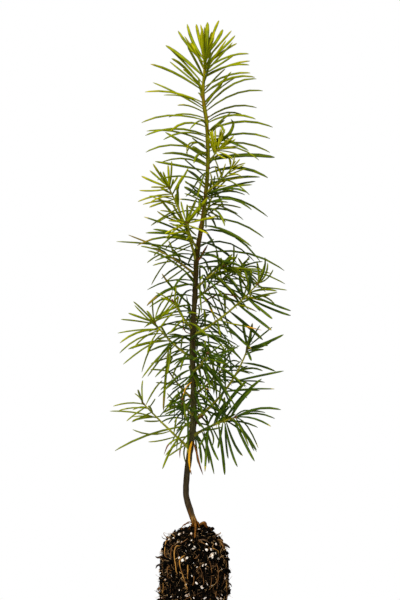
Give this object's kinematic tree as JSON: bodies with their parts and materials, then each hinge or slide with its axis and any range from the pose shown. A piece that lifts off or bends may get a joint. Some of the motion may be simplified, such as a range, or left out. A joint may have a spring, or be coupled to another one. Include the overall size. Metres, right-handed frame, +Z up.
{
  "type": "douglas fir plug seedling",
  "caption": "Young douglas fir standing on its own peat root ball: a slender curved stem with short side shoots in sprays of soft needles and a long needled leader.",
  "frame": {"origin": "centre of the root ball's flat underside", "axes": "+Z up along the root ball's axis, +X to the right and -Y toward the viewer as the picture shows the plant"},
  "size_m": [0.0957, 0.0831, 0.4005],
  "materials": {
    "peat": "near-black moist peat, crumbly and fibrous, with white perlite grains and tan roots",
    "bark": "thin young bark, grey-brown below, orange-brown at the collar, olive on the leader",
    "twig_bark": "smooth yellow-brown first-year shoot",
    "needles": "soft flat needles, satin, mid to deep green",
    "leader_needles": "soft flat needles, satin, yellow-green",
    "spent_needles": "dead needles, golden to brown"
  },
  "bodies": {
    "root": {"root_ball": "peat", "stem": "bark", "spent_needles": "spent_needles", "leader_needles_8": "leader_needles", "leader_needles_7": "leader_needles", "leader_needles_6": "leader_needles", "leader_needles_5": "leader_needles", "leader_needles_4": "leader_needles", "leader_needles_3": "leader_needles", "leader_needles_2": "leader_needles", "leader_needles_1": "leader_needles", "leader_tip": "leader_needles", "bough_low_left": "twig_bark", "needles_low_left": "needles", "bough_low_right": "twig_bark", "needles_low_right": "needles", "bough_low_back": "twig_bark", "needles_low_back": "needles", "bough_tall_right": "twig_bark", "needles_tall_right": "needles", "bough_low_front": "twig_bark", "needles_low_front": "needles", "bough_back_left_low": "twig_bark", "needles_back_left_low": "needles", "bough_back_right_low": "twig_bark", "needles_back_right_low": "needles", "bough_front_right": "twig_bark", "needles_front_right": "needles", "bough_mid_left": "twig_bark", "needles_mid_left": "needles", "bough_mid_back": "twig_bark", "needles_mid_back": "needles", "bough_mid_right": "twig_bark", "needles_mid_right": "needles", "bough_left_inner": "twig_bark", "needles_left_inner": "needles", "bough_back_right": "twig_bark", "needles_back_right": "needles", "bough_right_inner": "twig_bark", "needles_right_inner": "needles", "bough_back_left": "twig_bark", "needles_back_left": "needles", "bough_upper_left": "twig_bark", "needles_upper_left": "needles", "bough_upper_front": "twig_bark", "needles_upper_front": "needles", "bough_upper_back": "twig_bark", "needles_upper_back": "needles", "bough_upper_right": "twig_bark", "needles_upper_right": "needles", "bough_top_front": "twig_bark", "needles_top_front": "needles"}
  },
  "joints": []
}
